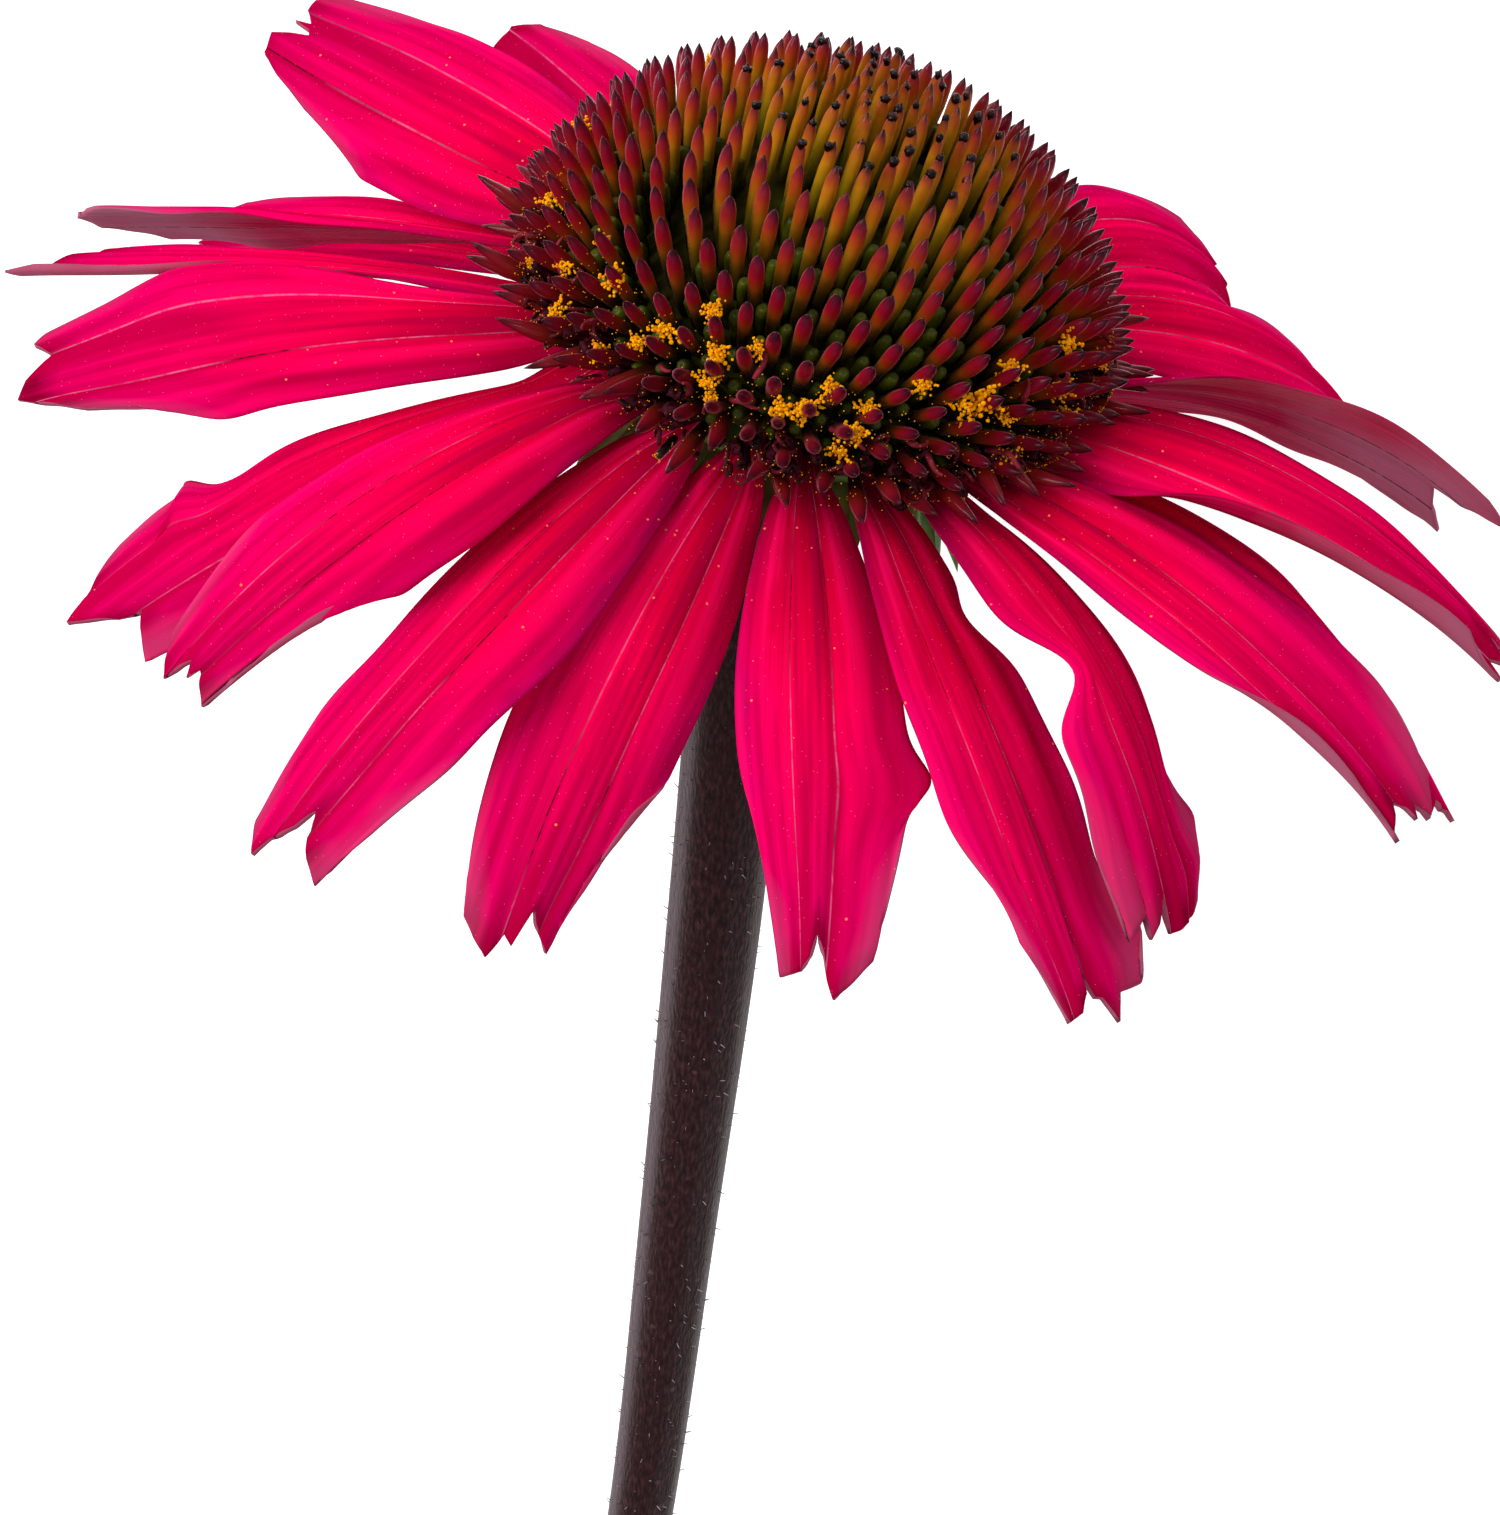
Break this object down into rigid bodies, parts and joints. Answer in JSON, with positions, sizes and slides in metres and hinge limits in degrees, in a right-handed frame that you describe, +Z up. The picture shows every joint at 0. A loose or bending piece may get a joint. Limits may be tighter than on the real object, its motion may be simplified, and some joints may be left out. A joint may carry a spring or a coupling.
{
  "type": "coneflower bloom",
  "caption": "Cut purple coneflower lying on its back: domed spiny cone, spreading and drooping toothed crimson rays, green bracts below, and a long dark stem.",
  "frame": {"origin": "middle of the bloom's footprint, on the surface that it lies on", "axes": "+Z up from the surface, +Y along the stem from its cut end to the cone, +X to the bloom's right as the cone's open side is looked at from above with the stem towards the viewer"},
  "size_m": [0.091, 0.1586, 0.0703],
  "materials": {
    "ray": "living crimson petal, satin, lightly veined",
    "cone": "stiff paleae, olive at the foot, orange-brown above, glossy dark maroon tips",
    "bracts": "matt green, finely hairy",
    "stem": "dark purple-black skin with a soft grey sheen and short pale hairs"
  },
  "bodies": {
    "root": {"stem": "stem", "involucre": "bracts", "cone": "cone", "ray_01": "ray", "ray_02": "ray", "ray_03": "ray", "ray_04": "ray", "ray_05": "ray", "ray_06": "ray", "ray_07": "ray", "ray_08": "ray", "ray_09": "ray", "ray_10": "ray", "ray_11": "ray", "ray_12": "ray", "ray_13": "ray", "ray_14": "ray", "ray_15": "ray", "ray_16": "ray", "ray_17": "ray", "ray_18": "ray", "ray_19": "ray", "ray_20": "ray", "ray_21": "ray"}
  },
  "joints": []
}
